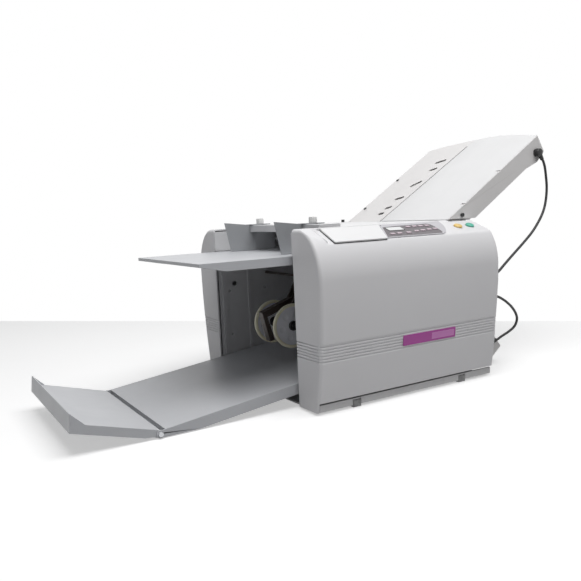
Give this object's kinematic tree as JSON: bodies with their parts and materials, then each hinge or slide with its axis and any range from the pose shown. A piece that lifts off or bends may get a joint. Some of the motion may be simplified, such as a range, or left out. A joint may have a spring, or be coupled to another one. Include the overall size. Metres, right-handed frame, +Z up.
{
  "type": "paper folding machine",
  "caption": "Desktop friction-fed paper folder with a rising upper fold plate, side panel controls, feed table and a hinged delivery tray.",
  "frame": {"origin": "on the table, under the middle of the whole machine without its cables", "axes": "X along the paper path with the feed and delivery end at -X and the fold plates at +X, Y across with the operator's side at -Y, Z up"},
  "size_m": [1.0963, 0.499, 0.5154],
  "materials": {
    "cover_plastic": "fine spark-eroded texture, warm light grey",
    "pan_paint": "satin powder coat, grey",
    "foot_rubber": "matt black",
    "frame_paint": "satin powder coat, dark grey",
    "bar_steel": "bright zinc plated",
    "panel_paint": "satin powder coat, light grey",
    "bar_paint": "satin powder coat, near white",
    "cover_paint": "satin powder coat, near white",
    "black_plastic": "matt black",
    "magenta_plate": "magenta, glossy",
    "fascia_plastic": "satin light grey with a darker key field",
    "display_glass": "clear over white",
    "board_green": "green solder mask",
    "lid_plastic": "white",
    "yellow_plastic": "yellow",
    "teal_plastic": "green",
    "key_plastic": "pale pinkish grey",
    "tray_paint": "satin powder coat, light blue grey",
    "guide_paint": "satin powder coat, mid grey",
    "knob_plastic": "white",
    "feed_rubber": "soft, matt dark grey",
    "pad_rubber": "brown friction pad",
    "roller_rubber": "ground dark grey on steel shafts",
    "bearing_steel": "bright",
    "motor_metal": "dark grey enamel",
    "pulley_alloy": "turned",
    "belt_rubber": "black",
    "chute_steel": "plain sheet",
    "plate_paint": "satin powder coat, warm off-white",
    "plate_cover_paint": "satin powder coat, near white",
    "stop_alloy": "anodised dark grey",
    "cable_rubber": "black sheath",
    "arm_plastic": "very dark brown",
    "wheel_plastic": "cream"
  },
  "bodies": {
    "machine": {"base_pan": "pan_paint", "rubber_feet": "foot_rubber", "near_side_frame": "frame_paint", "far_side_frame": "frame_paint", "tie_bars": "bar_steel", "near_side_cover": "cover_plastic", "far_side_cover": "cover_plastic", "rear_panel": "panel_paint", "guide_bar": "bar_paint", "plate_latches": "black_plastic", "name_plate": "magenta_plate", "control_panel": "fascia_plastic", "display_window": "display_glass", "control_board": "board_green", "feed_table": "tray_paint", "separator_pad": "pad_rubber", "roller_bearings": "bearing_steel", "drive_motor": "motor_metal", "drive_belt": "belt_rubber", "exit_chute": "chute_steel", "upper_fold_plate": "plate_paint", "upper_plate_cover": "plate_cover_paint", "upper_gland": "black_plastic", "lower_fold_plate": "plate_paint", "lower_gland": "black_plastic", "rear_sockets": "black_plastic", "upper_cable": "cable_rubber", "lower_cable": "cable_rubber", "delivery_tray": "tray_paint"},
    "top_cover_body": {"top_cover": "cover_paint"},
    "panel_lid_body": {"panel_lid": "lid_plastic"},
    "stop_button_body": {"stop_button": "yellow_plastic"},
    "start_button_body": {"start_button": "teal_plastic"},
    "key_1_body": {"key_1": "key_plastic"},
    "key_2_body": {"key_2": "key_plastic"},
    "key_3_body": {"key_3": "key_plastic"},
    "key_4_body": {"key_4": "key_plastic"},
    "key_5_body": {"key_5": "key_plastic"},
    "key_6_body": {"key_6": "key_plastic"},
    "key_7_body": {"key_7": "key_plastic"},
    "key_8_body": {"key_8": "key_plastic"},
    "key_9_body": {"key_9": "key_plastic"},
    "key_10_body": {"key_10": "key_plastic"},
    "key_11_body": {"key_11": "key_plastic"},
    "side_guide_near_body": {"side_guide_near": "guide_paint"},
    "side_guide_far_body": {"side_guide_far": "guide_paint"},
    "guide_knob_near_body": {"guide_knob_near": "knob_plastic"},
    "guide_knob_far_body": {"guide_knob_far": "knob_plastic"},
    "feed_roller_body": {"feed_roller": "feed_rubber"},
    "fold_roller_1_body": {"fold_roller_1": "roller_rubber"},
    "fold_roller_2_body": {"fold_roller_2": "roller_rubber"},
    "fold_roller_3_body": {"fold_roller_3": "roller_rubber"},
    "fold_roller_4_body": {"fold_roller_4": "roller_rubber"},
    "motor_pulley_body": {"motor_pulley": "pulley_alloy"},
    "upper_fold_stop_body": {"upper_fold_stop": "stop_alloy"},
    "lower_fold_stop_body": {"lower_fold_stop": "stop_alloy"},
    "tray_extension_body": {"tray_extension": "tray_paint"},
    "stacker_arm_body": {"stacker_arm": "arm_plastic"},
    "stacker_wheels_body": {"stacker_wheels": "wheel_plastic"},
    "power_switch_body": {"power_switch": "black_plastic"}
  },
  "joints": [
    {"name": "top_cover_hinge", "type": "hinge", "parent": "machine", "child": "top_cover_body", "pos_m": [0.18963, 0, 0.316], "axis": [0, 1, 0], "range_deg": [0, 95]},
    {"name": "lid_hinge", "type": "hinge", "parent": "machine", "child": "panel_lid_body", "pos_m": [-0.02537, -0.17572, 0.3243], "axis": [-1, 0, 0], "range_deg": [0, 95]},
    {"name": "stop_button_press", "type": "slide", "parent": "machine", "child": "stop_button_body", "axis": [0, -0.3714, 0.9285], "range_m": [-0.0015, 0], "stiffness_N_per_m": 150, "springref_m": 0.0006},
    {"name": "start_button_press", "type": "slide", "parent": "machine", "child": "start_button_body", "axis": [0, -0.3714, 0.9285], "range_m": [-0.0015, 0], "stiffness_N_per_m": 150, "springref_m": 0.0006},
    {"name": "key_1_press", "type": "slide", "parent": "machine", "child": "key_1_body", "axis": [0, -0.3714, 0.9285], "range_m": [-0.0006, 0], "stiffness_N_per_m": 150, "springref_m": 0.0006},
    {"name": "key_2_press", "type": "slide", "parent": "machine", "child": "key_2_body", "axis": [0, -0.3714, 0.9285], "range_m": [-0.0006, 0], "stiffness_N_per_m": 150, "springref_m": 0.0006},
    {"name": "key_3_press", "type": "slide", "parent": "machine", "child": "key_3_body", "axis": [0, -0.3714, 0.9285], "range_m": [-0.0006, 0], "stiffness_N_per_m": 150, "springref_m": 0.0006},
    {"name": "key_4_press", "type": "slide", "parent": "machine", "child": "key_4_body", "axis": [0, -0.3714, 0.9285], "range_m": [-0.0006, 0], "stiffness_N_per_m": 150, "springref_m": 0.0006},
    {"name": "key_5_press", "type": "slide", "parent": "machine", "child": "key_5_body", "axis": [0, -0.3714, 0.9285], "range_m": [-0.0006, 0], "stiffness_N_per_m": 150, "springref_m": 0.0006},
    {"name": "key_6_press", "type": "slide", "parent": "machine", "child": "key_6_body", "axis": [0, -0.3714, 0.9285], "range_m": [-0.0006, 0], "stiffness_N_per_m": 150, "springref_m": 0.0006},
    {"name": "key_7_press", "type": "slide", "parent": "machine", "child": "key_7_body", "axis": [0, -0.3714, 0.9285], "range_m": [-0.0006, 0], "stiffness_N_per_m": 150, "springref_m": 0.0006},
    {"name": "key_8_press", "type": "slide", "parent": "machine", "child": "key_8_body", "axis": [0, -0.3714, 0.9285], "range_m": [-0.0006, 0], "stiffness_N_per_m": 150, "springref_m": 0.0006},
    {"name": "key_9_press", "type": "slide", "parent": "machine", "child": "key_9_body", "axis": [0, -0.3714, 0.9285], "range_m": [-0.0006, 0], "stiffness_N_per_m": 150, "springref_m": 0.0006},
    {"name": "key_10_press", "type": "slide", "parent": "machine", "child": "key_10_body", "axis": [0, -0.3714, 0.9285], "range_m": [-0.0006, 0], "stiffness_N_per_m": 150, "springref_m": 0.0006},
    {"name": "key_11_press", "type": "slide", "parent": "machine", "child": "key_11_body", "axis": [0, -0.3714, 0.9285], "range_m": [-0.0006, 0], "stiffness_N_per_m": 150, "springref_m": 0.0006},
    {"name": "far_guide_slide", "type": "slide", "parent": "machine", "child": "side_guide_far_body", "axis": [0, 1, 0], "range_m": [-0.047, 0.042]},
    {"name": "near_guide_slide", "type": "slide", "parent": "machine", "child": "side_guide_near_body", "axis": [0, 1, 0], "range_m": [-0.042, 0.047]},
    {"name": "far_knob_turn", "type": "hinge", "parent": "side_guide_far_body", "child": "guide_knob_far_body", "pos_m": [-0.05837, 0.105, 0.34], "axis": [0, 0, 1], "range_deg": [0, 90]},
    {"name": "near_knob_turn", "type": "hinge", "parent": "side_guide_near_body", "child": "guide_knob_near_body", "pos_m": [-0.05837, -0.105, 0.34], "axis": [0, 0, 1], "range_deg": [0, 90]},
    {"name": "feed_roller_spin", "type": "hinge", "parent": "machine", "child": "feed_roller_body", "pos_m": [-0.00437, 0, 0.2962], "axis": [0, 1, 0], "continuous": true},
    {"name": "middle_roller_spin", "type": "hinge", "parent": "machine", "child": "fold_roller_2_body", "pos_m": [0.18263, 0, 0.25362], "axis": [0, 1, 0], "continuous": true},
    {"name": "top_roller_spin", "type": "hinge", "parent": "machine", "child": "fold_roller_1_body", "pos_m": [0.16537, 0, 0.28104], "axis": [0, 1, 0], "continuous": true},
    {"name": "rear_roller_spin", "type": "hinge", "parent": "machine", "child": "fold_roller_3_body", "pos_m": [0.21005, 0, 0.27089], "axis": [0, 1, 0], "continuous": true},
    {"name": "low_roller_spin", "type": "hinge", "parent": "machine", "child": "fold_roller_4_body", "pos_m": [0.1999, 0, 0.22621], "axis": [0, 1, 0], "continuous": true},
    {"name": "motor_spin", "type": "hinge", "parent": "machine", "child": "motor_pulley_body", "pos_m": [0.17563, 0, 0.108], "axis": [0, 1, 0], "continuous": true},
    {"name": "upper_stop_slide", "type": "slide", "parent": "machine", "child": "upper_fold_stop_body", "axis": [0.8462, 0, 0.5329], "range_m": [-0.07, 0.23]},
    {"name": "lower_stop_slide", "type": "slide", "parent": "machine", "child": "lower_fold_stop_body", "axis": [0.6184, 0, -0.7859], "range_m": [-0.04, 0.18]},
    {"name": "extension_hinge", "type": "hinge", "parent": "machine", "child": "tray_extension_body", "pos_m": [-0.40537, 0, 0.0075], "axis": [0, 1, 0], "range_deg": [0, 85]},
    {"name": "stacker_arm_swing", "type": "hinge", "parent": "machine", "child": "stacker_arm_body", "pos_m": [-0.01837, 0, 0.222], "axis": [0, 1, 0], "range_deg": [0, 25]},
    {"name": "stacker_wheel_spin", "type": "hinge", "parent": "stacker_arm_body", "child": "stacker_wheels_body", "pos_m": [-0.07637, 0, 0.13], "axis": [0, 1, 0], "continuous": true},
    {"name": "switch_rock", "type": "hinge", "parent": "machine", "child": "power_switch_body", "pos_m": [0.26763, 0.067, 0.05], "axis": [0, 1, 0], "range_deg": [0, 16]}
  ],
  "couplings": [
    {"joint": "top_roller_spin", "follows": "middle_roller_spin", "ratio": -1},
    {"joint": "rear_roller_spin", "follows": "middle_roller_spin", "ratio": -1},
    {"joint": "low_roller_spin", "follows": "middle_roller_spin", "ratio": -1},
    {"joint": "motor_spin", "follows": "middle_roller_spin", "ratio": 2}
  ]
}
